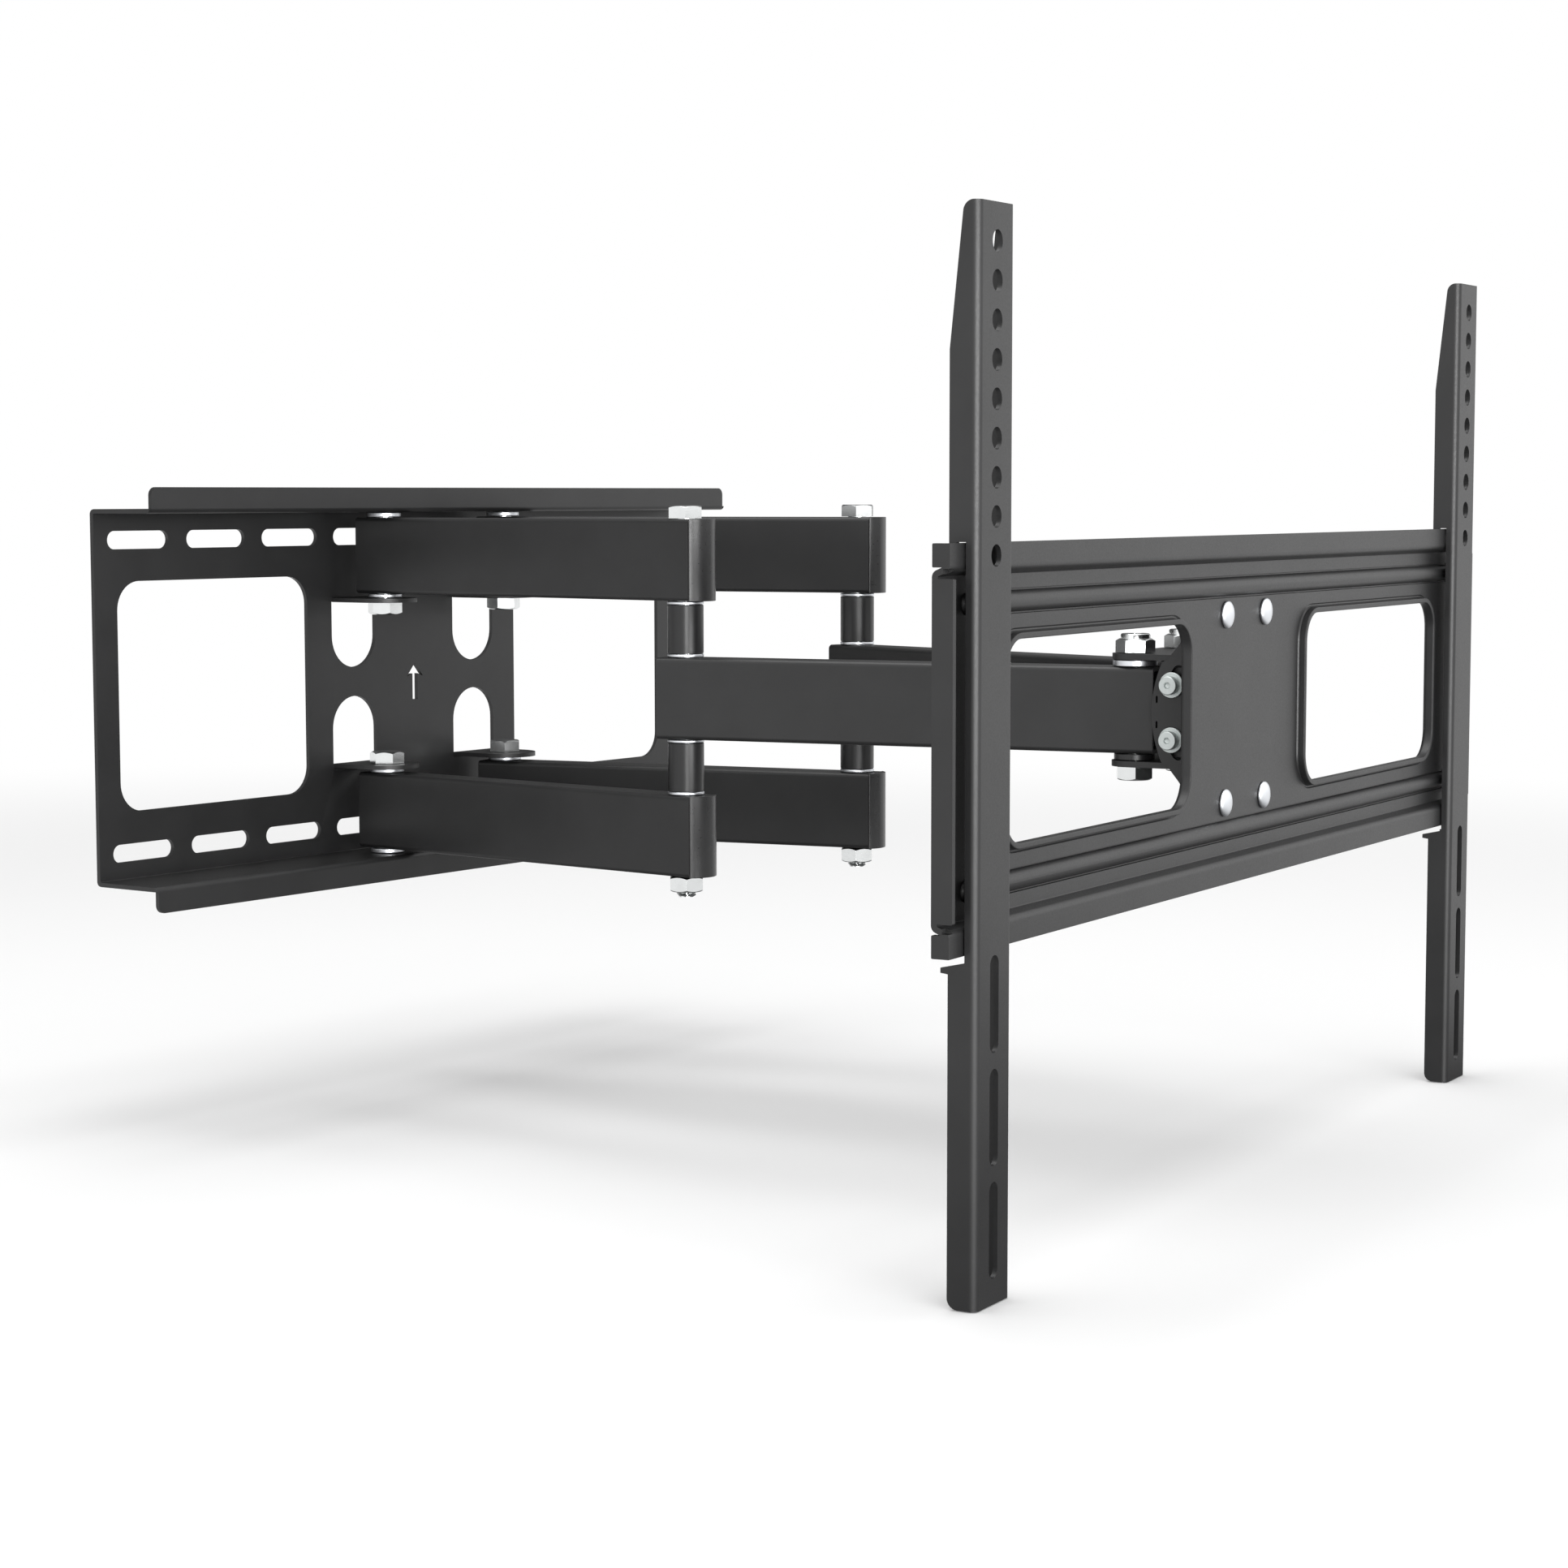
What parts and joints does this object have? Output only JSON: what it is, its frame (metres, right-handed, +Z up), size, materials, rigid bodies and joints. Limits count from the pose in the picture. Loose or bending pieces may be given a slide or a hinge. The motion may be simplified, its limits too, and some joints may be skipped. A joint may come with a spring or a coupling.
{
  "type": "full motion tv wall mount",
  "caption": "Slotted wall plate with two folding double arms, a tilting head and a wide plate carrying sliding vertical rails for a flat screen.",
  "frame": {"origin": "centre of the wall plate's back face, on the wall's surface", "axes": "+Z up, +Y into the wall, +X along the wall; the screen side is -Y"},
  "size_m": [0.6254, 0.5396, 0.429],
  "materials": {
    "black_coat": "satin fine-grained powder coat",
    "zinc": "bright zinc plating",
    "bright_plate": "smooth bright plating",
    "dull_zinc": "dull grey zinc plating",
    "black_plastic": "smooth matt black nylon",
    "end_caps": "semi-gloss black plastic"
  },
  "bodies": {
    "wall": {"wall_plate": "black_coat", "wall_bolt_left_upper": "zinc", "wall_bolt_left_lower": "zinc", "wall_bolt_right_upper": "zinc", "wall_bolt_right_lower": "zinc", "wall_nut_left_upper": "zinc", "wall_nut_left_lower": "zinc", "wall_nut_right_upper": "zinc", "wall_nut_right_lower": "zinc", "wall_washer_left_upper": "bright_plate", "wall_washer_left_lower": "bright_plate", "wall_washer_right_upper": "bright_plate", "wall_washer_right_lower": "bright_plate"},
    "left_inner_arm": {"inner_tube_left_upper": "black_coat", "inner_tube_left_lower": "black_coat", "end_cap_left_upper": "end_caps", "end_cap_left_lower": "end_caps", "elbow_bolt_left": "zinc", "elbow_nut_left": "zinc", "elbow_outer_washer_left_upper": "bright_plate", "elbow_outer_washer_left_lower": "bright_plate", "elbow_spacer_left_upper": "black_plastic", "elbow_spacer_left_lower": "black_plastic", "elbow_inner_washer_left_upper": "bright_plate", "elbow_inner_washer_left_lower": "bright_plate"},
    "left_outer_arm": {"outer_tube_left": "black_coat"},
    "right_inner_arm": {"inner_tube_right_upper": "black_coat", "inner_tube_right_lower": "black_coat", "end_cap_right_upper": "end_caps", "end_cap_right_lower": "end_caps", "elbow_bolt_right": "zinc", "elbow_nut_right": "zinc", "elbow_outer_washer_right_upper": "bright_plate", "elbow_outer_washer_right_lower": "bright_plate", "elbow_spacer_right_upper": "black_plastic", "elbow_spacer_right_lower": "black_plastic", "elbow_inner_washer_right_upper": "bright_plate", "elbow_inner_washer_right_lower": "bright_plate"},
    "right_outer_arm": {"outer_tube_right": "black_coat"},
    "head": {"head_bracket": "black_coat", "head_bolt_left": "zinc", "head_nut_left": "zinc", "head_bolt_right_lower": "zinc", "head_bolt_right_upper": "zinc", "head_washer_left": "bright_plate", "head_washer_right": "bright_plate", "head_bush_left": "black_plastic", "head_bush_right": "black_plastic", "tilt_screw_left_upper": "dull_zinc", "tilt_screw_left_lower": "dull_zinc", "tilt_screw_right_upper": "dull_zinc", "tilt_screw_right_lower": "dull_zinc"},
    "tv_plate": {"tilt_frame": "black_coat", "tv_plate": "black_coat", "rivet_left_upper": "bright_plate", "rivet_left_lower": "bright_plate", "rivet_right_upper": "bright_plate", "rivet_right_lower": "bright_plate"},
    "left_rail": {"rail_left": "black_coat"},
    "right_rail": {"rail_right": "black_coat"}
  },
  "joints": [
    {"name": "fold", "type": "hinge", "parent": "wall", "child": "left_inner_arm", "pos_m": [-0.0485, -0.025, 0], "axis": [0, 0, -1], "range_deg": [-2, 79]},
    {"name": "left_elbow", "type": "hinge", "parent": "left_inner_arm", "child": "left_outer_arm", "pos_m": [-0.06248, -0.23554, 0], "axis": [0, 0, 1], "range_deg": [-3.93, 154.56]},
    {"name": "left_wrist", "type": "hinge", "parent": "left_outer_arm", "child": "head", "pos_m": [-0.01359, -0.45977, 0], "axis": [0, 0, -1], "range_deg": [-2.07, 81.06]},
    {"name": "right_shoulder", "type": "hinge", "parent": "wall", "child": "right_inner_arm", "pos_m": [0.0485, -0.025, 0], "axis": [0, 0, 1], "range_deg": [-1.79, 70.05]},
    {"name": "right_elbow", "type": "hinge", "parent": "right_inner_arm", "child": "right_outer_arm", "pos_m": [0.09516, -0.23078, 0], "axis": [0, 0, -1], "range_deg": [-3.69, 144.78]},
    {"name": "tilt", "type": "hinge", "parent": "head", "child": "tv_plate", "pos_m": [0.01997, -0.51099, 0], "axis": [0.9954, 0.0958, 0], "range_deg": [-5, 5]},
    {"name": "left_rail_slide", "type": "slide", "parent": "tv_plate", "child": "left_rail", "axis": [0.9954, 0.0958, 0], "range_m": [-0.009, 0.186]},
    {"name": "right_rail_slide", "type": "slide", "parent": "tv_plate", "child": "right_rail", "axis": [-0.9954, -0.0958, 0], "range_m": [-0.009, 0.186]}
  ],
  "couplings": [
    {"joint": "left_elbow", "follows": "fold", "ratio": 1.9561},
    {"joint": "left_wrist", "follows": "fold", "ratio": 1.0258},
    {"joint": "right_shoulder", "follows": "fold", "ratio": 0.88639},
    {"joint": "right_elbow", "follows": "fold", "ratio": 1.8324}
  ]
}
